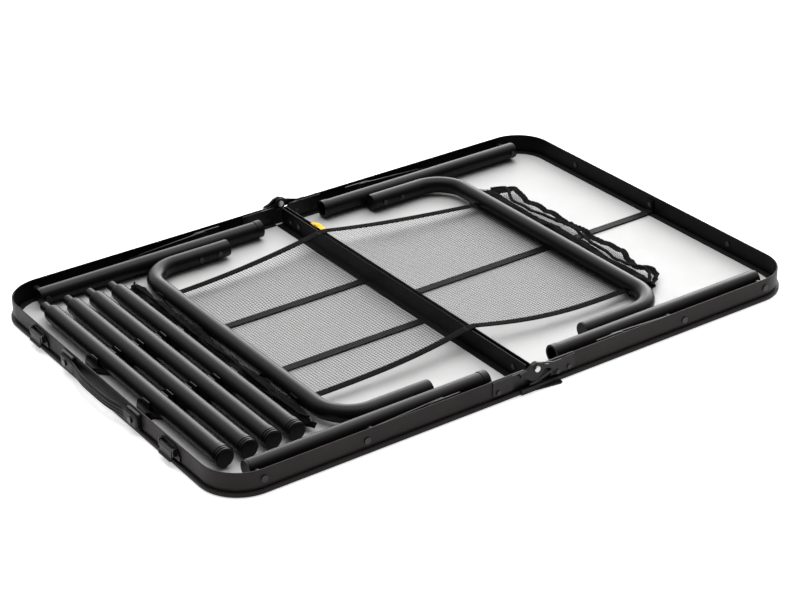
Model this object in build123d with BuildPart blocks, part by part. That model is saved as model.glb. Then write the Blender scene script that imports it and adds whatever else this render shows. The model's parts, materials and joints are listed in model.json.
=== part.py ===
from build123d import *
import math
import os

os.makedirs("parts", exist_ok=True)

# Fold-in-half table, lying on its table top with the underside up.
# Millimetres. x runs along the table, y across it, z up.
# z = 0 is the face of the table top, x = 0 is the fold line.

# ---- driving dimensions ----
LENGTH = 900.0          # over the edge lips
WIDTH = 600.0
RIM_H = 32.0            # rim, from the table-top face
LIP_OUT = 3.0           # the lip stands proud of the rim wall
LIP_H = 6.5
CORNER_R = 57.0         # outer corner radius, at the lip
WALL_T = 2.0
FLANGE_W = 10.0
BOARD_T = 4.0
XW = LENGTH / 2 - LIP_OUT      # outer face of the end walls
YW = WIDTH / 2 - LIP_OUT       # outer face of the long walls
GAP = 0.3                      # half of the gap at the fold line

PIVOT_Z = 32.5          # fold axis, just above the rim's top edge
HINGE_PIN_R = 2.5

TUBE_R = 12.0
TUBE_T = 1.2
LEG_Y = 268.0
LEG_Z = 19.0
LEG_PIVOT_X = 393.5
LEG_END_X = 399.0       # pivot end of the tube
LEG_FREE_X = 55.0       # free end of the tube
BRACE_X = 256.0         # centre line of the cross tube
BRACE_Y = 243.8         # centre line of the arms
BRACE_END_X = 123.5
BEND_R = 48.0
RIVET_X = (140.0, 170.0)

STAY_Q = (250.0, 17.0)  # lower link on the rim (x, z)
STAY_S = (235.2, 19.0)  # upper link on the leg
STAY_E = (135.2, 24.0)  # knee
STAY_TAB_X = 108.0      # the lower link runs on past the knee
CLR = 0.05              # running clearance on a radius

POLE_X = (-408.0, -374.7, -341.4, -308.1)
POLE_Z = 19.5
POLE_Y0 = -222.0
POLE_Y1 = 212.0
RIB_Y = (65.5, -76.0)
CLIP_Y = (70.0, -66.0)
RIB_W = 12.0
RIB_TOP = 6.5

CUT_L = 33.0            # where the rim wall stops, left and right of the fold
CUT_R = 27.0
LATCH_Y = 172.0
HANDLE_Y = 87.0

SIDES = (("left", -1), ("right", 1))
ENDS = (("far", 1), ("near", -1))


def save(part, label):
    part.label = label
    export_step(part, f"parts/{label}.step")


def along_y(x, y, z):
    """A cylinder placed here runs along y."""
    return Location((x, y, z), (90, 0, 0))


def along_x(x, y, z):
    """A cylinder placed here runs along x."""
    return Location((x, y, z), (0, 90, 0))


# ---- rims: one bent extrusion on each half ----
# section: u is outwards from the wall's outer face, v is up
RIM_SECTION = [
    (-3.0, 0.0), (1.8, 0.0), (3.0, 1.2), (3.0, 5.3), (1.8, LIP_H), (-1.2, LIP_H),
    (-1.2, 10.4), (0.0, 11.2), (0.0, RIM_H - 0.5), (-0.5, RIM_H), (-1.5, RIM_H),
    (-WALL_T, RIM_H - 0.5), (-WALL_T, 5.5), (-FLANGE_W, 5.5), (-FLANGE_W, BOARD_T),
    (-3.0, BOARD_T),
]
for side, s in SIDES:
    cut = CUT_L if s < 0 else CUT_R
    with BuildPart() as rail:
        with BuildLine(Plane.XY) as path:
            FilletPolyline(
                (s * GAP, -YW), (s * XW, -YW), (s * XW, YW), (s * GAP, YW),
                radius=CORNER_R - LIP_OUT,
            )
        with BuildSketch(Plane(origin=(s * GAP, -YW, 0), x_dir=(0, -1, 0), z_dir=(s, 0, 0))):
            with BuildLine():
                Polyline(*[(u, -s * v) for u, v in RIM_SECTION], close=True)
            make_face()
        sweep()
        for t in (-1, 1):
            # the wall stops short of the fold, the lip runs on
            with Locations((s * cut / 2, t * 291.0, 5.5 + 15)):
                Box(cut, 14.0, 30.0, mode=Mode.SUBTRACT)
            with Locations((s * 7.0, t * 289.0, 4.0 + 3)):
                Box(14.0, 9.0, 6.0, mode=Mode.SUBTRACT)
            # holes for the leg pins and the stay pins
            with Locations(along_y(s * LEG_PIVOT_X, t * YW, LEG_Z)):
                Cylinder(3.02, 12, mode=Mode.SUBTRACT)
            with Locations(along_y(s * STAY_Q[0], t * YW, STAY_Q[1])):
                Cylinder(2.52, 12, mode=Mode.SUBTRACT)
    save(rail.part, f"{side}_rail")

    with BuildPart() as panel:
        with BuildSketch(Plane.XY):
            RectangleRounded(2 * (XW - 3.0), 2 * (YW - 3.0), CORNER_R - 6.0)
            with Locations((-s * 300.0 + s * GAP, 0)):
                Rectangle(600.0, 700.0, mode=Mode.SUBTRACT)
        extrude(amount=BOARD_T)
    save(panel.part, f"{side}_panel")

# ---- the rail along the fold line on each half: flat flange and one upright wall ----
for side, s, x0 in (("left", -1, 2.8), ("right", 1, 2.0)):
    with BuildPart() as fold_rail:
        with BuildSketch(Plane.XZ.offset(-286.6)):
            with BuildLine():
                Polyline(
                    (s * x0, BOARD_T), (s * (x0 + 10.7), BOARD_T), (s * (x0 + 10.7), 5.5),
                    (s * (x0 + 1.6), 5.5), (s * (x0 + 1.6), 30.6), (s * (x0 + 1.2), 31.0),
                    (s * (x0 + 0.4), 31.0), (s * x0, 30.6), close=True,
                )
            make_face()
        extrude(amount=2 * 286.6)
    save(fold_rail.part, f"{side}_fold_rail")

# ---- ribs: flat bars on the underside of the board ----
with BuildPart() as left_ribs:
    for y in RIB_Y:
        with Locations((-(436.8 + 13.7) / 2, y, (BOARD_T + RIB_TOP) / 2)):
            Box(436.8 - 13.7, RIB_W, RIB_TOP - BOARD_T)
save(left_ribs.part, "left_ribs")

with BuildPart() as right_rib:
    with BuildSketch(Plane.XZ.offset(5.0 - RIB_W / 2)):
        with BuildLine():
            Polyline(
                (12.9, BOARD_T), (430.0, BOARD_T), (436.5, 5.6), (442.5, 5.6), (444.8, 7.6),
                (444.8, 25.0), (442.8, 25.0), (442.8, 8.4), (441.6, 7.8), (435.6, 7.8),
                (429.2, RIB_TOP), (12.9, RIB_TOP), close=True,
            )
        make_face()
    extrude(amount=RIB_W)
save(right_rib.part, "right_rib")

# ---- clips that hold the loose poles, on the left ribs ----
for (end, t), y in zip(ENDS, CLIP_Y):
    with BuildPart() as clips:
        with BuildSketch(Plane.XY.offset(RIB_TOP)):
            with BuildLine():
                Polyline(
                    (-428.0, y - 10.0), (-428.0, y + 14.0), (-420.5, y + 25.0), (-294.0, y + 25.0),
                    (-294.0, y - 25.0), (-414.0, y - 25.0), close=True,
                )
            make_face()
        extrude(amount=6.5)
        for x in POLE_X:
            with Locations(along_y(x, y, POLE_Z)):
                Cylinder(12.25, 60.0, mode=Mode.SUBTRACT)
        for x in POLE_X:
            with BuildSketch(Plane.XZ.offset(-y - 8.0)):
                with Locations((x, 15.0)):
                    Rectangle(27.2, 17.0)
                with Locations((x, POLE_Z)):
                    Circle(12.2, mode=Mode.SUBTRACT)
                with Locations((x, POLE_Z + 10.0)):
                    Rectangle(24.4, 20.0, mode=Mode.SUBTRACT)
            extrude(amount=16.0)
    save(clips.part, f"pole_clips_{end}")

# ---- carrying handle on the left end ----
with BuildPart() as mounts:
    for y in (HANDLE_Y, -HANDLE_Y):
        with Locations((-449.0, y, 19.2)):
            Box(4.0, 31.0, 22.0)
    fillet(mounts.edges().filter_by(Axis.X), 2.5)
save(mounts.part, "handle_mounts")

with BuildPart() as strap:
    with BuildSketch(Plane.XY.offset(9.8)):
        with BuildLine():
            Line((-451.0, 101.0), (-451.0, 70.0))
            ThreePointArc((-451.0, 70.0), (-457.4, 0.0), (-451.0, -70.0))
            Line((-451.0, -70.0), (-451.0, -101.0))
            Line((-451.0, -101.0), (-455.0, -101.0))
            Line((-455.0, -101.0), (-455.0, -70.0))
            ThreePointArc((-455.0, -70.0), (-461.4, 0.0), (-455.0, 70.0))
            Line((-455.0, 70.0), (-455.0, 101.0))
            Line((-455.0, 101.0), (-451.0, 101.0))
        make_face()
    extrude(amount=17.0)
save(strap.part, "handle_strap")

# ---- latches on the left end, and what they catch on the right end ----
with BuildPart() as latch_bases:
    for y in (LATCH_Y, -LATCH_Y):
        with BuildSketch(Plane.YZ.offset(-449.0)):
            with BuildLine():
                Polyline(
                    (y - 25.0, 11.0), (y + 25.0, 11.0), (y + 25.0, 17.0), (y + 19.0, 25.5),
                    (y + 12.0, 28.5), (y - 12.0, 28.5), (y - 19.0, 25.5), (y - 25.0, 17.0), close=True,
                )
            make_face()
        extrude(amount=2.0)
        for d in (-16.5, 16.5):
            with Locations((-451.2, y + d, 20.5)):
                Box(4.8, 3.0, 10.0)
            with Locations(along_y(-451.5, y + d, 23.0)):
                Cylinder(1.55, 4.0, mode=Mode.SUBTRACT)
save(latch_bases.part, "latch_bases")

for end, t in ENDS:
    with BuildPart() as latch:
        with BuildSketch(Plane.XZ.offset(-t * LATCH_Y - 14.0)):
            with BuildLine():
                Polyline(
                    (-450.5, 24.2), (-452.8, 24.8), (-454.3, 20.0), (-454.3, 11.4), (-456.6, 9.4), (-456.6, 7.8),
                    (-453.4, 9.0), (-452.4, 11.4), (-452.4, 18.0), (-450.5, 21.6), close=True,
                )
            make_face()
        extrude(amount=28.0)
        with Locations(along_y(-451.5, t * LATCH_Y, 23.0)):
            Cylinder(1.5, 36.0)
    save(latch.part, f"latch_{end}")

with BuildPart() as catches:
    for y in (LATCH_Y, -LATCH_Y):
        with Locations((448.0, y, 18.0)):
            Box(2.0, 30.0, 12.0)
        with Locations((449.6, y, 21.5)):
            Box(3.2, 22.0, 3.0)
save(catches.part, "latch_catches")

# ---- fold hinges, near and far ----
with BuildPart() as left_plates:
    for t in (-1, 1):
        with BuildSketch(Plane.XZ.offset(-t * YW if t > 0 else YW)):
            with BuildLine():
                Polyline((-64, 11.3), (-64, 31.2), (-33, 31.2), (-20, 31.2), (-7.4, 33.5), (-7.4, 24.5), (-33, 23.0), (-33, 11.3), close=True)
            make_face()
            with Locations((0, PIVOT_Z)):
                Circle(7.5)
            with Locations((-4.0, 29.5)):
                Rectangle(7.0, 9.0)
            with Locations((0, PIVOT_Z)):
                Circle(HINGE_PIN_R + 0.02, mode=Mode.SUBTRACT)
        extrude(amount=-1.3 * t)
        # half of the cover over the joint in the lip
        with Locations((-11.2, t * (WIDTH / 2 + 1.0), 4.0)):
            Box(21.6, 2.0, 7.4)
        with Locations((-11.2, t * (WIDTH / 2 - 0.1), 7.2)):
            Box(21.6, 4.2, 1.2)
        # plate inside the rim, up to the fold
        with BuildSketch(Plane.XZ.offset(-t * 292.6 if t > 0 else 292.6)):
            with BuildLine():
                Polyline((-66, 6.0), (-0.6, 6.0), (-0.6, 26.6), (-9.0, 26.6), (-13.0, 30.6), (-66, 30.6), close=True)
            make_face()
        extrude(amount=-2.0 * t)
save(left_plates.part, "left_hinge_plates")

with BuildPart() as right_plates:
    for t in (-1, 1):
        # the plate on the rim
        with BuildSketch(Plane.XZ.offset(-t * YW if t > 0 else YW)):
            with BuildLine():
                Polyline((27, 11.3), (27, 30.0), (64.6, 31.2), (64.6, 11.3), close=True)
            make_face()
        extrude(amount=-1.6 * t)
        # the arm to the pivot, one layer further out, and the strut under it
        with BuildSketch(Plane.XZ.offset(-t * (YW + 1.6) if t > 0 else (YW + 1.6))):
            with BuildLine():
                Polyline((4.0, 26.5), (4.0, 38.5), (30, 31.0), (42, 31.0), (42, 12.0), (31, 12.0), (31, 18.0), (22, 25.0), close=True)
            make_face()
            with BuildLine():
                Polyline((-8.0, 9.2), (-8.0, 12.0), (-2.0, 13.0), (29.0, 21.5), (31.0, 18.4), (2.0, 9.2), close=True)
            make_face()
            with Locations((0, PIVOT_Z)):
                Circle(7.5)
            with Locations((0, PIVOT_Z)):
                Circle(HINGE_PIN_R + CLR, mode=Mode.SUBTRACT)
        extrude(amount=-1.6 * t)
        # half of the cover over the joint in the lip
        with Locations((20.2, t * (WIDTH / 2 + 1.0), 4.0)):
            Box(39.6, 2.0, 7.4)
        with Locations((20.2, t * (WIDTH / 2 - 0.1), 7.2)):
            Box(39.6, 4.2, 1.2)
        with BuildSketch(Plane.XY.offset(0.4)):
            with BuildLine():
                Polyline((0.6, t * 301.0), (0.6, t * 302.4), (36.0, t * 307.6), (39.0, t * 306.6), (39.8, t * 301.0), close=True)
            make_face()
        extrude(amount=2.0)
        # plate inside the rim, up to the fold
        with BuildSketch(Plane.XZ.offset(-t * 292.6 if t > 0 else 292.6)):
            with BuildLine():
                Polyline((66, 6.0), (0.6, 6.0), (0.6, 26.6), (9.0, 26.6), (13.0, 30.6), (66, 30.6), close=True)
            make_face()
        extrude(amount=-2.0 * t)
save(right_plates.part, "right_hinge_plates")

with BuildPart() as caps:
    for t in (-1, 1):
        with BuildSketch(Plane.XZ.offset(-t * (YW + 3.5) if t > 0 else (YW + 3.5))):
            with BuildLine():
                Polyline(
                    (-25.0, 31.5), (-15.5, 34.5), (-8.0, 39.6), (0.0, 41.5), (7.5, 38.6), (13.5, 34.4), (19.5, 33.0),
                    (19.0, 30.2), (12.0, 27.5), (6.0, 20.5), (0.0, 17.4), (-8.5, 17.6), (-16.0, 23.5), (-25.0, 27.5),
                    close=True,
                )
            make_face()
            with Locations((0, PIVOT_Z)):
                Circle(HINGE_PIN_R + 0.02, mode=Mode.SUBTRACT)
        extrude(amount=-3.5 * t)
save(caps.part, "hinge_caps")

with BuildPart() as pins:
    for t in (-1, 1):
        y_out = YW + 7.0
        with Locations(along_y(0, t * (y_out + 295.0) / 2, PIVOT_Z)):
            Cylinder(HINGE_PIN_R, y_out - 295.0)
        with Locations(along_y(0, t * (y_out + 1.2), PIVOT_Z)):
            Cylinder(4.4, 2.4)
        with Locations(along_y(0, t * 295.9, PIVOT_Z)):
            Cylinder(4.6, 1.8)
        fillet(pins.faces().filter_by(Axis.Y).sort_by(Axis.Y)[0 if t < 0 else -1].edges(), 1.2)
save(pins.part, "hinge_pins")

# ---- rivets, leg pins and stay pins of each half ----
for side, s in SIDES:
    with BuildPart() as fasteners:
        for t in (-1, 1):
            # leg pin: head outside the rim, shoulder, shank through the tube, inner head
            with Locations(along_y(s * LEG_PIVOT_X, t * (YW + 0.8), LEG_Z)):
                Cylinder(4.5, 1.6)
            with Locations(along_y(s * LEG_PIVOT_X, t * (YW + 255.0) / 2, LEG_Z)):
                Cylinder(3.0, YW - 255.0)
            with Locations(along_y(s * LEG_PIVOT_X, t * (YW - WALL_T - 0.5 + 281.0) / 2, LEG_Z)):
                Cylinder(5.0, YW - WALL_T - 0.5 - 281.0)
            with Locations(along_y(s * LEG_PIVOT_X, t * 254.8, LEG_Z)):
                Cylinder(4.2, 1.6)
            # stay pin
            with Locations(along_y(s * STAY_Q[0], t * (YW + 0.8), STAY_Q[1])):
                Cylinder(4.5, 1.6)
            with Locations(along_y(s * STAY_Q[0], t * (YW + 287.4) / 2, STAY_Q[1])):
                Cylinder(2.5, YW - 287.4)
            with Locations(along_y(s * STAY_Q[0], t * (YW - WALL_T + 290.5) / 2, STAY_Q[1])):
                Cylinder(4.5, YW - WALL_T - 290.5)
            with Locations(along_y(s * STAY_Q[0], t * 287.6, STAY_Q[1])):
                Cylinder(4.0, 1.0)
            # rivet heads on the hinge plates
            for x in ((55.5,) if s < 0 else (36.1, 55.5)):
                th = 1.3 if s < 0 else 1.6
                if s > 0 and x < 42:
                    th = 3.2
                with Locations(along_y(s * x, t * (YW + th + 0.7), 14.8)):
                    Cylinder(3.2, 1.4)
            for x in (24.0, 52.0):
                with Locations(along_y(s * x, t * 292.1, 17.0)):
                    Cylinder(3.4, 1.0)
        # rivet heads on the wall of the fold rail, near its two ends
        for y in (262.0, 240.0, -262.0):
            with Locations(along_x(s * ((2.8 if s < 0 else 2.0) + 1.6 + 0.6), y, 18.0)):
                Cylinder(3.6, 1.2)
        if s < 0:
            # screws through the handle
            for y in (HANDLE_Y, -HANDLE_Y):
                with Locations(along_x(-456.0, y, 18.0)):
                    Cylinder(4.2, 2.0)
        else:
            # rivets inside the right end: two behind the catches, one in the rib's foot
            for y, x in ((LATCH_Y - 4, 444.4), (-LATCH_Y + 4, 444.4), (-5.0, 442.2)):
                with Locations(along_x(x, y, 18.0)):
                    Cylinder(3.6, 1.2)
    save(fasteners.part, f"{side}_fasteners")

# ---- legs ----
for side, s in SIDES:
    for end, t in ENDS:
        with BuildPart() as leg:
            with Locations(along_x(s * (LEG_END_X + LEG_FREE_X) / 2, t * LEG_Y, LEG_Z)):
                Cylinder(TUBE_R, LEG_END_X - LEG_FREE_X)
                Cylinder(TUBE_R - TUBE_T, LEG_END_X - LEG_FREE_X + 2, mode=Mode.SUBTRACT)
            with Locations(along_y(s * LEG_PIVOT_X, t * LEG_Y, LEG_Z)):
                Cylinder(3.0 + CLR, 30, mode=Mode.SUBTRACT)
            for x in RIVET_X:
                with Locations(along_y(s * x, t * LEG_Y, LEG_Z)):
                    Cylinder(2.02, 30, mode=Mode.SUBTRACT)
            with Locations(along_y(s * STAY_S[0], t * (LEG_Y + 11.5), STAY_S[1])):
                Cylinder(2.52, 6, mode=Mode.SUBTRACT)
        save(leg.part, f"{side}_leg_{end}")

    # bent tube that joins the two legs
    with BuildPart() as brace:
        with BuildLine(Plane.XY.offset(LEG_Z)) as bpath:
            FilletPolyline(
                (s * BRACE_END_X, -BRACE_Y), (s * BRACE_X, -BRACE_Y),
                (s * BRACE_X, BRACE_Y), (s * BRACE_END_X, BRACE_Y),
                radius=BEND_R,
            )
        with BuildSketch(Plane(origin=(s * BRACE_END_X, -BRACE_Y, LEG_Z), x_dir=(0, 1, 0), z_dir=(s, 0, 0))):
            Circle(TUBE_R)
            Circle(TUBE_R - TUBE_T, mode=Mode.SUBTRACT)
        sweep(path=bpath.wires()[0])
        for t in (-1, 1):
            for x in RIVET_X:
                with Locations(along_y(s * x, t * BRACE_Y, LEG_Z)):
                    Cylinder(2.02, 30, mode=Mode.SUBTRACT)
    save(brace.part, f"{side}_brace")

    # rivets through the arm and the leg, and the stay pin in the leg
    with BuildPart() as leg_fasteners:
        for t in (-1, 1):
            for x in RIVET_X:
                with Locations(along_y(s * x, t * 256.0, LEG_Z)):
                    Cylinder(2.0, 50.0)
                with Locations(along_y(s * x, t * 230.9, LEG_Z)):
                    Cylinder(3.6, 1.6)
                with Locations(along_y(s * x, t * 280.8, LEG_Z)):
                    Cylinder(3.6, 1.5)
            with Locations(along_y(s * STAY_S[0], t * (277.5 + 288.2) / 2, STAY_S[1])):
                Cylinder(2.5, 288.2 - 277.5)
            with Locations(along_y(s * STAY_S[0], t * (280.05 + 286.0) / 2, STAY_S[1])):
                Cylinder(4.5, 286.0 - 280.05)
    save(leg_fasteners.part, f"{side}_leg_fasteners")

    # plugs: pivot ends of the legs, and ends of the brace arms
    with BuildPart() as plugs:
        for t in (-1, 1):
            with Locations(along_x(s * 400.2, t * LEG_Y, LEG_Z)):
                Cylinder(11.4, 2.4)
            with Locations(along_x(s * (399.0 + 386.0) / 2, t * LEG_Y, LEG_Z)):
                Cylinder(TUBE_R - TUBE_T, 13.0)
            with Locations(along_y(s * LEG_PIVOT_X, t * LEG_Y, LEG_Z)):
                Cylinder(3.0 + CLR, 30, mode=Mode.SUBTRACT)
            with Locations(along_x(s * (BRACE_END_X - 0.9), t * BRACE_Y, LEG_Z)):
                Cylinder(11.6, 1.8)
            with Locations(along_x(s * (BRACE_END_X + 5.0), t * BRACE_Y, LEG_Z)):
                Cylinder(TUBE_R - TUBE_T, 10.0)
    save(plugs.part, f"{side}_leg_plugs")

    # sleeves on the free ends: a wide mouth and a socket for a pole
    with BuildPart() as sleeves:
        for t in (-1, 1):
            with BuildSketch(Plane(origin=(0, t * LEG_Y, LEG_Z), x_dir=(1, 0, 0), z_dir=(0, 0, 1))):
                with BuildLine():
                    Polyline(
                        (s * 52.5, 9.9), (s * 52.5, 12.7), (s * 62.0, 12.7), (s * 62.0, 12.02),
                        (s * 54.98, 12.02), (s * 54.98, 10.78), (s * 90.0, 10.78), (s * 90.0, 7.1),
                        (s * 68.0, 7.1), (s * 64.0, 9.9), close=True,
                    )
                make_face()
            revolve(axis=Axis((0, t * LEG_Y, LEG_Z), (1, 0, 0)))
    save(sleeves.part, f"{side}_leg_sleeves")

    # clips that hold the net on the cross tube
    with BuildPart() as mesh_clips:
        for y in ((172.0, -163.0) if s < 0 else (165.0, -183.0)):
            with Locations(along_y(s * BRACE_X, y, LEG_Z)):
                Cylinder(TUBE_R + 1.1, 15.0)
                Cylinder(TUBE_R + 0.02, 20.0, mode=Mode.SUBTRACT)
            with Locations((s * (BRACE_X - 14.0), y, LEG_Z)):
                Box(12.0, 17.0, 40.0, mode=Mode.SUBTRACT)
            with Locations((s * BRACE_X, y, LEG_Z + 11.0)):
                Box(30.0, 17.0, 16.0, mode=Mode.SUBTRACT)
    save(mesh_clips.part, f"{side}_mesh_clips")

    # spare net, bunched on the outer side of the cross tube
    with BuildPart() as mesh_roll:
        with BuildSketch(Plane.XZ.offset(-205.0)):
            with Locations((s * 281.3, 14.0)):
                Ellipse(11.5, 6.5)
        extrude(amount=410.0)
    save(mesh_roll.part, f"{side}_mesh_roll")

    # the net shelf, from the cross tube up over the fold rail
    with BuildPart() as mesh:
        with BuildSketch(Plane.XZ.offset(-180.0)):
            with BuildLine():
                Polyline(
                    (s * 242.5, 14.0), (s * 120.0, 19.4), (s * 6.0, 31.05), (s * 0.4, 31.05),
                    (s * 0.4, 32.2), (s * 6.0, 32.2), (s * 120.0, 20.6), (s * 242.5, 15.2), close=True,
                )
            make_face()
        extrude(amount=345.0)
    save(mesh.part, f"{side}_mesh")

# ---- stays: a lower link on the rim and an upper link on the leg ----
for side, s in SIDES:
    for end, t in ENDS:
        def layer(y):
            return Plane.XZ.offset(-t * y)

        with BuildPart() as lower:
            with BuildSketch(layer(288.6)):
                with Locations((s * STAY_Q[0], STAY_Q[1])):
                    Circle(5.5)
                with BuildLine():
                    Polyline(
                        (s * STAY_Q[0], STAY_Q[1] - 5.5), (s * 158.0, 17.0), (s * 152.0, 16.4), (s * STAY_TAB_X, 18.6),
                        (s * STAY_TAB_X, 30.6), (s * 146.0, 30.6), (s * 156.0, 27.6), (s * STAY_Q[0], STAY_Q[1] + 5.5), close=True,
                    )
                make_face()
                with Locations((s * STAY_Q[0], STAY_Q[1])):
                    Circle(2.5 + CLR, mode=Mode.SUBTRACT)
            extrude(amount=-1.5 * t)
            with Locations(along_y(s * STAY_E[0], t * 290.6, STAY_E[1])):
                Cylinder(3.5, 1.0)
        save(lower.part, f"{side}_stay_lower_{end}")

        with BuildPart() as upper:
            with BuildSketch(layer(286.4)):
                with Locations((s * STAY_S[0], STAY_S[1]), (s * STAY_E[0], STAY_E[1])):
                    Circle(6.5)
                with BuildLine():
                    Polyline(
                        (s * STAY_S[0], STAY_S[1] - 6.5), (s * STAY_E[0], STAY_E[1] - 6.5),
                        (s * STAY_E[0], STAY_E[1] + 6.5), (s * STAY_S[0], STAY_S[1] + 6.5), close=True,
                    )
                make_face()
                with Locations((s * STAY_S[0], STAY_S[1])):
                    Circle(2.5 + CLR, mode=Mode.SUBTRACT)
            extrude(amount=-1.5 * t)
            with Locations(along_y(s * STAY_E[0], t * 285.9, STAY_E[1])):
                Cylinder(3.5, 1.0)
        save(upper.part, f"{side}_stay_upper_{end}")

# ---- loose extension poles across the left end ----
for i, x in enumerate(POLE_X, start=1):
    with BuildPart() as pole:
        with Locations(along_y(x, (POLE_Y0 + POLE_Y1) / 2, POLE_Z)):
            Cylinder(TUBE_R, POLE_Y1 - POLE_Y0)
            Cylinder(TUBE_R - TUBE_T, POLE_Y1 - POLE_Y0 + 2, mode=Mode.SUBTRACT)
    save(pole.part, f"pole_{i}_tube")

    with BuildPart() as spigot:
        with BuildSketch(Plane(origin=(x, 0, POLE_Z), x_dir=(1, 0, 0), z_dir=(0, 0, 1))):
            with BuildLine():
                Polyline((0, 198.0), (10.78, 198.0), (10.78, POLE_Y1 + 0.02), (12.0, POLE_Y1 + 0.02), (11.4, 216.0), (9.6, 219.6), (7.0, 221.5), (7.0, 237.4), (5.6, 239.0), (0, 239.0), close=True)
            make_face()
        revolve(axis=Axis((x, 0, POLE_Z), (0, 1, 0)))
    save(spigot.part, f"pole_{i}_spigot")

    with BuildPart() as foot:
        with BuildSketch(Plane(origin=(x, 0, POLE_Z), x_dir=(1, 0, 0), z_dir=(0, 0, 1))):
            with BuildLine():
                Polyline(
                    (0, -234.0), (11.0, -234.0), (12.6, -232.6), (12.6, -230.6), (11.6, -230.0), (11.6, -229.0),
                    (12.6, -228.4), (12.6, -226.4), (11.6, -225.8), (11.6, -224.8), (12.6, -224.2), (12.6, -216.0),
                    (12.02, -216.0), (12.02, -222.02), (10.78, -222.02), (10.78, -206.0), (0, -206.0), close=True,
                )
            make_face()
        revolve(axis=Axis((x, 0, POLE_Z), (0, 1, 0)))
    save(foot.part, f"pole_{i}_foot")
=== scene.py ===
import json
import math
import random

import bpy
import bmesh
from mathutils import Matrix, Vector, noise


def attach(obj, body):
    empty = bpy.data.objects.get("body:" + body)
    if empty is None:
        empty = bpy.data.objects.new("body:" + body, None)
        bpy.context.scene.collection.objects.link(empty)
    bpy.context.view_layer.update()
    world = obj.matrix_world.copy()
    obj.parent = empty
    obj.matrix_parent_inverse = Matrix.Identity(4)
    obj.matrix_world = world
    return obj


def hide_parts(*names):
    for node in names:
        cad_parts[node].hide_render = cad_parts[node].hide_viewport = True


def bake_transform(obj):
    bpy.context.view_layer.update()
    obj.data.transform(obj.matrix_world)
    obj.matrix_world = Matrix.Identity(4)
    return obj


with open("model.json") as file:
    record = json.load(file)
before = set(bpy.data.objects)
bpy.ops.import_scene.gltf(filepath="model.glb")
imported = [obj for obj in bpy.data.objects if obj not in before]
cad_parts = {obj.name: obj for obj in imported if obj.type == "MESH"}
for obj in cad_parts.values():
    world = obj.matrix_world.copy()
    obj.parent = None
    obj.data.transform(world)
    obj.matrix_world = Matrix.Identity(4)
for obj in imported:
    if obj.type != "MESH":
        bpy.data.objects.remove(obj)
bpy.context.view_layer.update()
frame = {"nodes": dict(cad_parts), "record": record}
NODES = frame["nodes"]
COLL = bpy.context.scene.collection


# ------------------------------------------------------------------ materials
def new_mat(name):
    m = bpy.data.materials.new(name)
    m.use_nodes = True
    nt = m.node_tree
    b = nt.nodes["Principled BSDF"]
    return m, nt, b


def ramp(nt, fac, stops):
    r = nt.nodes.new("ShaderNodeValToRGB")
    while len(r.color_ramp.elements) < len(stops):
        r.color_ramp.elements.new(0.5)
    for e, (p, c) in zip(r.color_ramp.elements, stops):
        e.position = p
        e.color = (*c, 1) if len(c) == 3 else c
    nt.links.new(fac, r.inputs["Fac"])
    return r.outputs["Color"]


def noise_tex(nt, scale, detail=4.0, rough=0.55, stretch=None):
    tc = nt.nodes.new("ShaderNodeTexCoord")
    n = nt.nodes.new("ShaderNodeTexNoise")
    n.inputs["Scale"].default_value = scale
    n.inputs["Detail"].default_value = detail
    n.inputs["Roughness"].default_value = rough
    src = tc.outputs["Object"]
    if stretch:
        mp = nt.nodes.new("ShaderNodeMapping")
        mp.inputs["Scale"].default_value = stretch
        nt.links.new(src, mp.inputs["Vector"])
        src = mp.outputs["Vector"]
    nt.links.new(src, n.inputs["Vector"])
    return n.outputs["Fac"]


def bump(nt, b, height, strength, dist):
    bp = nt.nodes.new("ShaderNodeBump")
    bp.inputs["Strength"].default_value = strength
    bp.inputs["Distance"].default_value = dist
    nt.links.new(height, bp.inputs["Height"])
    nt.links.new(bp.outputs["Normal"], b.inputs["Normal"])


def coated(name, lo, hi, r0, r1, metallic=0.0, coat=0.0, spec=0.5, fine=900.0, bstr=0.25, stretch=None, ior=1.2, inner=None):
    """Powder coated or moulded surface: cloudy colour, uneven gloss, orange peel."""
    m, nt, b = new_mat(name)
    big = noise_tex(nt, 9.0, 5.0, 0.6)
    col = ramp(nt, big, [(0.3, lo), (0.72, hi)])
    if inner:
        # painted shade: the faces turned inwards get a darker base colour standing in for the shade they sit in
        tc = nt.nodes.new("ShaderNodeTexCoord")
        dp = nt.nodes.new("ShaderNodeVectorMath")
        dp.operation = "DOT_PRODUCT"
        nt.links.new(tc.outputs["Object"], dp.inputs[0])
        nt.links.new(tc.outputs["Normal"], dp.inputs[1])
        mr = nt.nodes.new("ShaderNodeMapRange")
        mr.inputs["From Min"].default_value = -0.02
        mr.inputs["From Max"].default_value = 0.02
        nt.links.new(dp.outputs["Value"], mr.inputs["Value"])
        mx = nt.nodes.new("ShaderNodeMix")
        mx.data_type = "RGBA"
        mx.inputs["A"].default_value = (*inner, 1)
        nt.links.new(mr.outputs["Result"], mx.inputs["Factor"])
        nt.links.new(col, mx.inputs["B"])
        col = mx.outputs["Result"]
    nt.links.new(col, b.inputs["Base Color"])
    b.inputs["IOR"].default_value = ior
    mid = noise_tex(nt, 55.0, 6.0, 0.65, stretch)
    nt.links.new(ramp(nt, mid, [(0.25, (r0,) * 3), (0.8, (r1,) * 3)]), b.inputs["Roughness"])
    b.inputs["Metallic"].default_value = metallic
    b.inputs["Coat Weight"].default_value = coat
    b.inputs["Coat Roughness"].default_value = 0.3
    b.inputs["Specular IOR Level"].default_value = spec
    bump(nt, b, noise_tex(nt, fine, 3.0, 0.6), bstr, 0.00008)
    return m


# the rim's inner colour is painted shade on its inward faces
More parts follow.
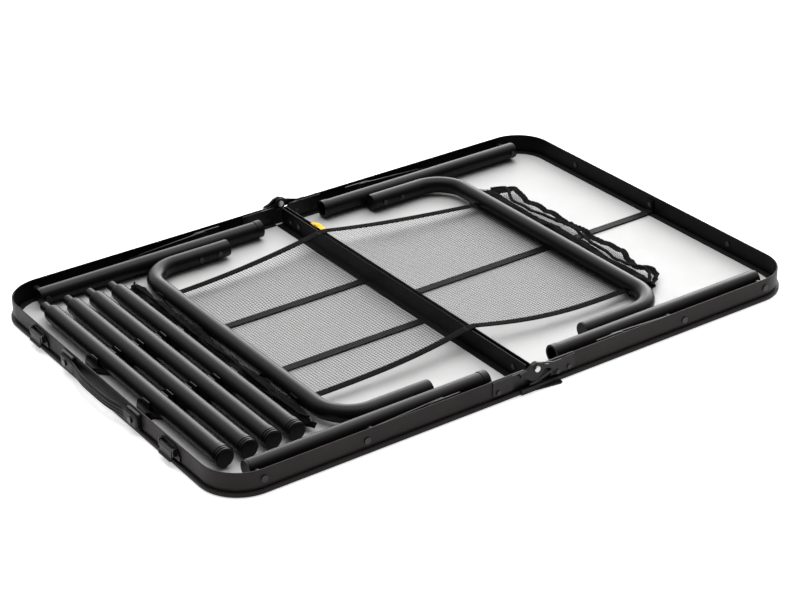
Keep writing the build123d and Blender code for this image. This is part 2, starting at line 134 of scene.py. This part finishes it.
MAT_RIM = coated("rim_coat", (0.0135, 0.0115, 0.0112), (0.019, 0.016, 0.0155), 0.42, 0.54, ior=1.2, inner=(0.0025, 0.0022, 0.0022))
MAT_TUBE = coated("tube_coat", (0.0035, 0.0028, 0.0028), (0.0062, 0.005, 0.0049), 0.27, 0.36, ior=1.24)
MAT_RIB = coated("rib_coat", (0.0035, 0.0032, 0.0032), (0.006, 0.0056, 0.0055), 0.5, 0.62, ior=1.18)
MAT_PLATE = coated("plate_coat", (0.009, 0.0078, 0.0076), (0.015, 0.0128, 0.0125), 0.3, 0.44, ior=1.25)
MAT_PLASTIC = coated("moulded_black", (0.002, 0.002, 0.0021), (0.0042, 0.004, 0.004), 0.3, 0.46, fine=600.0, bstr=0.3, ior=1.25)
MAT_STRAP = coated("strap_rubber", (0.0062, 0.0048, 0.0046), (0.011, 0.0085, 0.0082), 0.38, 0.52, fine=1400.0, bstr=0.5, ior=1.28)
MAT_RIVET = coated("rivet_dark", (0.012, 0.011, 0.011), (0.03, 0.028, 0.028), 0.2, 0.34, 0.6, ior=1.45)
MAT_SCREW = coated("screw_plated", (0.35, 0.34, 0.33), (0.5, 0.49, 0.47), 0.2, 0.35, 1.0, ior=1.45)
MAT_LATCH = coated("latch_plated", (0.03, 0.028, 0.027), (0.06, 0.056, 0.054), 0.25, 0.42, 0.8, ior=1.45)
MAT_IN = coated("inside_coat", (0.0024, 0.0021, 0.0021), (0.0048, 0.0042, 0.0041), 0.45, 0.58, ior=1.2)
MAT_HEM = None


def board_mat():
    """Light grey laminate with a faint fleck."""
    m, nt, b = new_mat("board_laminate")
    f = noise_tex(nt, 420.0, 6.0, 0.7)
    nt.links.new(ramp(nt, f, [(0.3, (0.445, 0.445, 0.443)), (0.7, (0.465, 0.465, 0.462))]), b.inputs["Base Color"])
    g = noise_tex(nt, 30.0, 4.0)
    nt.links.new(ramp(nt, g, [(0.3, (0.52,) * 3), (0.7, (0.62,) * 3)]), b.inputs["Roughness"])
    b.inputs["Specular IOR Level"].default_value = 0.35
    bump(nt, b, noise_tex(nt, 700.0, 4.0), 0.12, 0.00006)
    return m


MAT_BOARD = board_mat()


def cloth_mat(name, lo, hi, scale, strength=0.6, rough=0.85):
    """Woven binding tape or net yarn: crossed ribs and lint."""
    m, nt, b = new_mat(name)
    tc = nt.nodes.new("ShaderNodeTexCoord")
    w1 = nt.nodes.new("ShaderNodeTexWave")
    w1.wave_type = "BANDS"
    w1.bands_direction = "DIAGONAL"
    w1.inputs["Scale"].default_value = scale
    w1.inputs["Distortion"].default_value = 0.6
    nt.links.new(tc.outputs["Object"], w1.inputs["Vector"])
    w2 = nt.nodes.new("ShaderNodeTexWave")
    w2.wave_type = "BANDS"
    w2.bands_direction = "Y"
    w2.inputs["Scale"].default_value = scale * 1.3
    nt.links.new(tc.outputs["Object"], w2.inputs["Vector"])
    mx = nt.nodes.new("ShaderNodeMath")
    mx.operation = "MULTIPLY"
    nt.links.new(w1.outputs["Fac"], mx.inputs[0])
    nt.links.new(w2.outputs["Fac"], mx.inputs[1])
    lint = noise_tex(nt, 260.0, 5.0)
    ad = nt.nodes.new("ShaderNodeMath")
    ad.operation = "ADD"
    nt.links.new(mx.outputs[0], ad.inputs[0])
    nt.links.new(lint, ad.inputs[1])
    nt.links.new(ramp(nt, ad.outputs[0], [(0.35, lo), (1.0, hi)]), b.inputs["Base Color"])
    b.inputs["Roughness"].default_value = rough
    b.inputs["Specular IOR Level"].default_value = 0.5
    b.inputs["IOR"].default_value = 1.12
    bump(nt, b, ad.outputs[0], strength, 0.0002)
    return m


MAT_NET = cloth_mat("net_yarn", (0.0015, 0.0015, 0.0015), (0.0035, 0.0034, 0.0033), 900.0)
MAT_HEM = cloth_mat("binding_tape", (0.0015, 0.0015, 0.0015), (0.005, 0.005, 0.0048), 420.0)
MAT_TAG = cloth_mat("tag_cloth", (0.85, 0.36, 0.015), (0.95, 0.55, 0.05), 300.0, 0.3, 0.7)

SLOT_MAT = {"rim": MAT_RIM, "board": MAT_BOARD, "tube": MAT_TUBE, "plastic": MAT_PLASTIC, "strap": MAT_STRAP,
            "latch": MAT_LATCH, "plate": MAT_PLATE, "steel": MAT_RIVET, "net": MAT_NET}
NODE_MAT = {"left_ribs": MAT_RIB, "right_rib": MAT_RIB, "left_fold_rail": MAT_IN, "right_fold_rail": MAT_IN,
            "hinge_pins": MAT_SCREW, "latch_far": MAT_PLATE, "latch_near": MAT_PLATE}
for sp in frame["record"]["subparts"]:
    o = NODES[sp["node"]]
    mat = NODE_MAT.get(sp["node"], SLOT_MAT[sp["material_slot"]])
    if not o.material_slots:
        o.data.materials.append(mat)
    for s in o.material_slots:
        s.material = mat


# ------------------------------------------------------------------ helpers
def mesh_obj(name, verts, faces, mat, smooth=True):
    me = bpy.data.meshes.new(name)
    me.from_pydata([tuple(v) for v in verts], [], faces)
    me.validate()
    me.update()
    if smooth:
        me.polygons.foreach_set("use_smooth", [True] * len(me.polygons))
    o = bpy.data.objects.new(name, me)
    o.data.materials.append(mat)
    COLL.objects.link(o)
    return o


def mm(*p):
    return Vector(p) / 1000.0


def apply_mods(o):
    dg = bpy.context.evaluated_depsgraph_get()
    me = bpy.data.meshes.new_from_object(o.evaluated_get(dg))
    old = o.data
    o.modifiers.clear()
    o.data = me
    bpy.data.meshes.remove(old)


def loft(rings, closed_ring=True, cap=True):
    """Faces between equal rings of points."""
    n = len(rings[0])
    verts = [p for r in rings for p in r]
    faces = []
    for i in range(len(rings) - 1):
        for j in range(n if closed_ring else n - 1):
            a, b = i * n + j, i * n + (j + 1) % n
            faces.append((a, b, b + n, a + n))
    if cap and closed_ring:
        faces.append(tuple(range(n))[::-1])
        faces.append(tuple((len(rings) - 1) * n + j for j in range(n)))
    return verts, faces


# ------------------------------------------------------------------ the net
# rest shape of the net in mm; s = -1 left, +1 right
# y limits at the cross tube and at the fold rail
NET_Y = {-1: ((170.0, -170.0), (183.0, -166.5)), 1: ((148.0, -186.0), (183.0, -166.5))}
X_BAR = 246.5
X_TOP = 1.0


def net_point(s, u, v):
    """u: 0 at the cross tube, 1 at the fold line; v: 0 far edge, 1 near edge."""
    (f0, n0), (f1, n1) = NET_Y[s]
    x = X_BAR + (X_TOP - X_BAR) * u
    rise = (X_BAR - 3.0) / (X_BAR - X_TOP)
    k = min(u / rise, 1.0)
    # the edges pull in between their fixings
    far = f0 + (f1 - f0) * k - (4.0 if s < 0 else 1.0) * math.sin(math.pi * k)
    near = n0 + (n1 - n0) * k - (5.0 if s < 0 else 10.0) * math.sin(math.pi * k)
    y = far + (near - far) * v
    z0, z1 = 16.0, 31.9
    sag = -5.5 * math.sin(math.pi * k) * (0.55 + 0.45 * math.sin(math.pi * v))
    z = z0 + (z1 - z0) * k ** 1.15 + sag
    # soft folds that run in from the fixings
    w = math.sin(math.pi * min(k * 1.02, 1.0)) ** 0.8
    z += w * 1.7 * math.sin(2.3 * math.pi * v + 2.2 * k + (0.4 if s < 0 else 1.3))
    z += w * 1.1 * math.exp(-((v - 0.16 - 0.25 * k) / 0.045) ** 2) * (2.2 if s < 0 else 1.0)
    z += w * 0.9 * math.exp(-((v - 0.80 + 0.22 * k) / 0.06) ** 2) * 2.0
    z = max(z, 9.5)
    return Vector((s * x, y, z))


def lattice(name, point, nu, nv, hole, mat, stagger=True):
    """An open net: a lattice of yarns, one hole per cell."""
    verts = []
    idx = {}
    for i in range(nu + 1):
        for j in range(nv + 1):
            uu = i / nu
            vv = j / nv
            if stagger and i % 2 and 0 < j < nv:
                vv += 0.48 / nv
            idx[i, j] = len(verts)
            verts.append(point(uu, vv) / 1000.0)
    faces = []
    for i in range(nu):
        for j in range(nv):
            q = [idx[i, j], idx[i + 1, j], idx[i + 1, j + 1], idx[i, j + 1]]
            c = sum((verts[k] for k in q), Vector()) / 4
            inner = []
            for k in q:
                inner.append(len(verts))
                verts.append(c + (verts[k] - c) * hole)
            for k in range(4):
                faces.append((q[k], q[(k + 1) % 4], inner[(k + 1) % 4], inner[k]))
    return mesh_obj(name, verts, faces, mat, smooth=False)


PITCH = 4.1
HOLE = 0.833
nets = []
for s, side in ((-1, "left"), (1, "right")):
    nu = int(round((X_BAR - 6.0) / PITCH))
    nv = int(round(342 / PITCH))
    u_end = (X_BAR - 6.0) / (X_BAR - X_TOP)
    net = lattice(f"net_{side}", lambda u, v, s=s, e=u_end: net_point(s, u * e, v), nu, nv, HOLE, MAT_NET)
    nets.append((net, s, side))

# the strip that lies over both fold rails
strip_u = (X_BAR - 6.0) / (X_BAR - X_TOP)


def strip_point(u, v):
    x = -6.0 + 12.0 * u
    s = -1 if x < 0 else 1
    uu = (X_BAR - abs(x)) / (X_BAR - X_TOP)
    p = net_point(s, min(uu, 1.0), v)
    a, b = net_point(-1, strip_u, v), net_point(1, strip_u, v)
    p.y = a.y + (b.y - a.y) * u
    p.x = x
    p.z = a.z + (b.z - a.z) * u + 0.25 * math.sin(math.pi * u)
    return p


net_mid = lattice("net_over_fold", strip_point, 6, int(round(342 / PITCH)), HOLE, MAT_NET)


def ribbon(name, line, width_dir, width, mat, thick=0.9, lift=0.3):
    """A flat tape along a line of mm points, with soft rounded edges."""
    rings = []
    n = len(line)
    for i, p in enumerate(line):
        t = (line[min(i + 1, n - 1)] - line[max(i - 1, 0)]).normalized()
        wd = width_dir(i / (n - 1))
        wd = (wd - t * wd.dot(t)).normalized()
        up = t.cross(wd)
        if up.z < 0:
            up = -up
        prof = [(-0.5, 0.0), (-0.46, 0.8), (-0.2, 1.0), (0.2, 1.0), (0.46, 0.8), (0.5, 0.0), (0.46, -0.8), (0.2, -1.0), (-0.2, -1.0), (-0.46, -0.8)]
        rings.append([(p + wd * a * width + up * (lift + b * thick / 2)) / 1000.0 for a, b in prof])
    v, f = loft(rings)
    o = mesh_obj(name, v, f, mat)
    return o


HEM_W = 12.0
hems = []
for s, side in ((-1, "left"), (1, "right")):
    for v, edge in ((0.0, "far"), (1.0, "near")):
        line = [net_point(s, strip_u * i / 40.0, v) for i in range(41)]
        h = ribbon(f"hem_{side}_{edge}", line, lambda k: Vector((0, 1, 0)), HEM_W, MAT_HEM)
        hems.append((h, s, side, edge))
hem_mid = []
for v, edge in ((0.0, "far"), (1.0, "near")):
    line = [strip_point(i / 8.0, v) for i in range(9)]
    h = ribbon(f"hem_fold_{edge}", line, lambda k: Vector((0, 1, 0)), HEM_W, MAT_HEM)
    hem_mid.append(h)


def casing(s):
    """The net's end, wrapped over the cross tube's inner side."""
    (f0, n0), _ = NET_Y[s]
    rings = []
    cx, cz, r = 256.0, 19.0, 12.45
    n = 80
    for i in range(n + 1):
        y = f0 + 2 + (n0 - 2 - f0 - 2) * i / n
        ring = []
        a0, a1 = math.radians(188), math.radians(250)
        m = 7
        for k in range(m + 1):
            a = a0 + (a1 - a0) * k / m
            rr = r + 0.35 * noise.noise(Vector((y * 0.08, k * 0.7, s * 3.0)))
            ring.append(mm(s * (cx + rr * math.cos(a)), y, cz + rr * math.sin(a)))
        for k in range(m, -1, -1):
            a = a0 + (a1 - a0) * k / m
            ring.append(mm(s * (cx + (12.06) * math.cos(a)), y, cz + (12.06) * math.sin(a)))
        rings.append(ring)
    v, f = loft(rings)
    o = mesh_obj(f"net_casing_{'left' if s < 0 else 'right'}", v, f, MAT_HEM)
    return o


casings = {s: casing(s) for s in (-1, 1)}


# ------------------------------------------------------------------ spare net, bunched outside the cross tubes
def bunch(s, y0, y1, xc, seed):
    side = "left" if s < 0 else "right"
    random.seed(seed)
    rings = []
    n = 150
    for i in range(n + 1):
        t = i / n
        y = y0 + (y1 - y0) * t
        end = min(1.0, t / 0.05, (1 - t) / 0.07)
        end = max(end, 0.0) ** 0.6
        ring = []
        m = 22
        for k in range(m):
            a = 2 * math.pi * k / m
            q = Vector((y * 0.035, 2.2 * math.cos(a), 2.2 * math.sin(a) + seed))
            r = 1.0 + 0.34 * noise.noise(q) + 0.2 * noise.noise(q * 2.7 + Vector((9, 2, 4)))
            r *= 0.35 + 0.65 * end
            wob = 2.2 * math.sin(y * 0.031 + seed) + 1.2 * math.sin(y * 0.083)
            x = xc + wob + 9.0 * r * math.cos(a)
            z = 14.5 + 6.2 * r * math.sin(a)
            ring.append(mm(s * x, y, max(z, 7.4)))
        rings.append(ring)
    v, f = loft(rings)
    core = mesh_obj(f"spare_net_{side}", v, f, MAT_HEM)
    # loose edge of the net standing off the bunch
    EDGE = [(190, 292), (178, 318), (166, 326), (150, 321), (120, 316), (55, 317), (-26, 315), (-88, 319), (-115, 311), (-142, 302),
            (-158, 315), (-170, 313), (-182, 300), (-196, 288), (-230, 285)]

    def edge_at(y):
        for (ya, xa), (yb, xb) in zip(EDGE, EDGE[1:]):
            if ya >= y >= yb:
                k = (ya - y) / (ya - yb)
                return xa + (xb - xa) * k * k * (3 - 2 * k)
        return 292.0 if y > 0 else 285.0

    def frill(u, v2):
        y = y0 + 4 + (y1 - y0 - 8) * u
        wave = 1.3 * math.sin(y * 0.083 + seed) + 3.4 * noise.noise(Vector((y * 0.045, seed, 0)))
        wave += 1.6 * noise.noise(Vector((y * 0.16, seed, 3)))
        taper = min(1.0, u / 0.04, (1 - u) / 0.05)
        reach = 13.5 if s < 0 else edge_at(y) - (xc - 8.0)
        x = xc - (4.0 if s < 0 else 8.0) + 2.2 * math.sin(y * 0.031 + seed) * (1 - v2) + reach * v2 * taper + 0.4 * wave * v2
        z = 19.5 + wave * (0.35 + 0.65 * v2) * 0.8 - 6.0 * v2 * v2 + 2.5 * math.sin(math.pi * v2)
        return Vector((s * x, y, max(min(z, 31.0), 8.0)))
    fr = lattice(f"spare_net_frill_{side}", frill, 130, 5 if s < 0 else 12, 0.78, MAT_NET)
    line = [frill(i / 160.0, 1.0) for i in range(161)]
    tape = ribbon(f"spare_net_hem_{side}", line, lambda k: Vector((1, 0, 0.35)), 8.5, MAT_HEM, 2.0, 0.0)
    inner = [frill(0.02 + 0.96 * i / 120.0, 0.5 + 0.16 * math.sin(i * 0.11 + seed) + 0.10 * noise.noise(Vector((i * 0.09, seed, 5)))) for i in range(121)]
    inner = [q + Vector((0, 0, 1.2)) for q in inner]
    fold = ribbon(f"spare_net_fold_{side}", inner, lambda k: Vector((1, 0, 0.2)), 5.0 if s > 0 else 3.0, MAT_HEM, 1.6, 0.0)
    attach(fold, f"{side}_legs")
    for o in (core, fr, tape):
        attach(o, f"{side}_legs")
    return core, fr, tape


bunches = {-1: bunch(-1, 228.0, -222.0, 281.5, 3.0), 1: bunch(1, 178.0, -198.0, 281.5, 8.0)}

# the net pieces are baked in place, the casings go with the legs, and the CAD nets are hidden
for net, s, side in nets:
    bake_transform(net)
for h, s, side, edge in hems:
    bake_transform(h)
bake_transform(net_mid)
for h in hem_mid:
    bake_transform(h)
for s, side in ((-1, "left"), (1, "right")):
    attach(casings[s], f"{side}_legs")
    net = [n for n, q, _ in nets if q == s][0]
    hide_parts(f"{side}_mesh")
    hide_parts(f"{side}_mesh_roll")
for net, s, side in nets:
    w, l = 0.342, 0.242

# tag on the far hem, plain
rows = []
for i in range(13):
    t = i / 12.0
    row = []
    for k in range(7):
        w = k / 6.0
        x = 0.8 + 9.5 * w + 0.5 * math.sin(3.0 * t)
        y = 190.0 + 27.0 * t - 2.0 * w
        z = 31.1 - 0.9 * w + 0.6 * math.sin(7.0 * t + 3.0 * w)
        row.append(mm(x, y, z))
    rows.append(row)
v, f = loft(rows, closed_ring=False, cap=False)
tag = mesh_obj("tag", v, f, MAT_TAG)
md = tag.modifiers.new("s", "SOLIDIFY"); md.thickness = 0.0006
apply_mods(tag)
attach(tag, "right_half")


# ------------------------------------------------------------------ handle strap with three ridges
def strap():
    prof = []  # (outwards, z) around the section
    zs = [10.5 + 15.0 * k / 36.0 for k in range(37)]
    for z in zs:
        c = (z - 18.0)
        d = 4.0
        for g in (-4.6, 0.0, 4.6):
            d += 0.0
        ridge = sum(math.exp(-((c - g) / 1.25) ** 2) for g in (-4.4, 0.0, 4.4))
        edge = min(1.0, (7.5 - abs(c)) / 1.2)
        prof.append((2.6 * max(edge, 0.25) ** 0.5 + 1.3 * ridge * max(edge, 0), z))
    n = 84
    rings = []
    for i in range(n + 1):
        y = 101.0 - 202.0 * i / n
        if abs(y) >= 70:
            base, k = 451.05, 0.0
        else:
            k = 1 - (abs(y) / 70.0) ** 2
            k = k * k * (3 - 2 * k)
            base = 451.05 + 6.35 * k
        flat = max(0.0, min(1.0, (abs(y) - 66.0) / 8.0))
        ring = []
        for d, z in prof:
            dd = d * (1 - flat) + 3.6 * flat * min(1.0, (d / 2.6))
            zz = 18.0 + (z - 18.0) * (1.0 + 0.12 * flat)
            endr = max(0.0, (abs(y) - 98.0) / 3.0)
            dd *= 1.0 - 0.35 * endr
            ring.append(mm(-(base + dd), y, zz))
        for d, z in reversed(prof):
            zz = 18.0 + (z - 18.0) * (1.0 + 0.12 * flat)
            ring.append(mm(-base, y, zz))
        rings.append(ring)
    v, f = loft(rings)
    o = mesh_obj("handle_grip", v, f, MAT_STRAP)
    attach(o, "left_half")
    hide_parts("handle_strap")
    return o


grip = strap()


# ------------------------------------------------------------------ floor, light, camera
def floor():
    v = [(-30, -30, -0.0002), (30, -30, -0.0002), (30, 30, -0.0002), (-30, 30, -0.0002)]
    m, nt, b = new_mat("floor_pale")
    f = noise_tex(nt, 3.0, 3.0)
    nt.links.new(ramp(nt, f, [(0.3, (0.93, 0.93, 0.93)), (0.7, (0.95, 0.95, 0.95))]), b.inputs["Base Color"])
    b.inputs["Roughness"].default_value = 0.9
    b.inputs["Specular IOR Level"].default_value = 0.1
    b.inputs["Emission Color"].default_value = (1, 1, 1, 1)
    b.inputs["Emission Strength"].default_value = 0.45
    o = mesh_obj("floor", v, [(0, 1, 2, 3)], m, False)
    return o


floor()


def area(name, loc, target, size, power, size_y=None):
    l = bpy.data.lights.new(name, "AREA")
    l.energy = power
    l.size = size
    if size_y:
        l.shape = "RECTANGLE"
        l.size_y = size_y
    o = bpy.data.objects.new(name, l)
    o.location = loc
    o.rotation_euler = (Vector(target) - Vector(loc)).to_track_quat("-Z", "Y").to_euler()
    COLL.objects.link(o)
    return o


area("top", (0.4, 0.3, 2.8), (0, 0, 0), 2.6, 38.0)
area("strip", (2.1, 1.2, 1.0), (0, 0, 0), 0.7, 14.0, 2.8)

w = bpy.data.worlds.new("studio") if not bpy.context.scene.world else bpy.context.scene.world
bpy.context.scene.world = w
w.use_nodes = True
nt = w.node_tree
bg = nt.nodes["Background"]
tc = nt.nodes.new("ShaderNodeTexCoord")
dot = nt.nodes.new("ShaderNodeVectorMath")
dot.operation = "DOT_PRODUCT"
nt.links.new(tc.outputs["Generated"], dot.inputs[0])
dot.inputs[1].default_value = Vector((0.35, 0.45, 0.82)).normalized()
sky = ramp(nt, dot.outputs["Value"], [(0.30, (0.10, 0.10, 0.10)), (0.86, (1.9, 1.9, 1.9))])
dot2 = nt.nodes.new("ShaderNodeVectorMath")
dot2.operation = "DOT_PRODUCT"
nt.links.new(tc.outputs["Generated"], dot2.inputs[0])
dot2.inputs[1].default_value = Vector((0.72, 0.62, 0.32)).normalized()
band = ramp(nt, dot2.outputs["Value"], [(0.80, (0.0, 0.0, 0.0)), (0.97, (4.0, 4.0, 4.0))])
add = nt.nodes.new("ShaderNodeMix")
add.data_type = "RGBA"
add.blend_type = "ADD"
add.inputs["Factor"].default_value = 1.0
nt.links.new(sky, add.inputs["A"])
nt.links.new(band, add.inputs["B"])
nt.links.new(add.outputs["Result"], bg.inputs["Color"])
bg.inputs["Strength"].default_value = 1.0
bpy.context.scene.view_settings.view_transform = "Standard"
bpy.context.scene.view_settings.look = "None"
bpy.context.scene.view_settings.exposure = 0.0

AZ, EL, ROLL = math.radians(-124.367), math.radians(27.909), math.radians(-1.2156)
d = Vector((math.cos(EL) * math.cos(AZ), math.cos(EL) * math.sin(AZ), math.sin(EL)))
x = Vector((0, 0, 1)).cross(d).normalized()
y = d.cross(x)
x2 = x * math.cos(ROLL) + y * math.sin(ROLL)
y2 = -x * math.sin(ROLL) + y * math.cos(ROLL)
cam = bpy.data.objects.new("camera", bpy.data.cameras.new("camera"))
cam.data.lens = 2111.12 / 805.0 * 36.0
cam.data.sensor_width = 36.0
cam.data.clip_end = 100.0
C = Vector((-1.41876, -2.08623, 1.33928))
cam.matrix_world = Matrix(((x2.x, y2.x, d.x, C.x), (x2.y, y2.y, d.y, C.y), (x2.z, y2.z, d.z, C.z), (0, 0, 0, 1)))
COLL.objects.link(cam)
bpy.context.scene.camera = cam

bpy.context.view_layer.update()
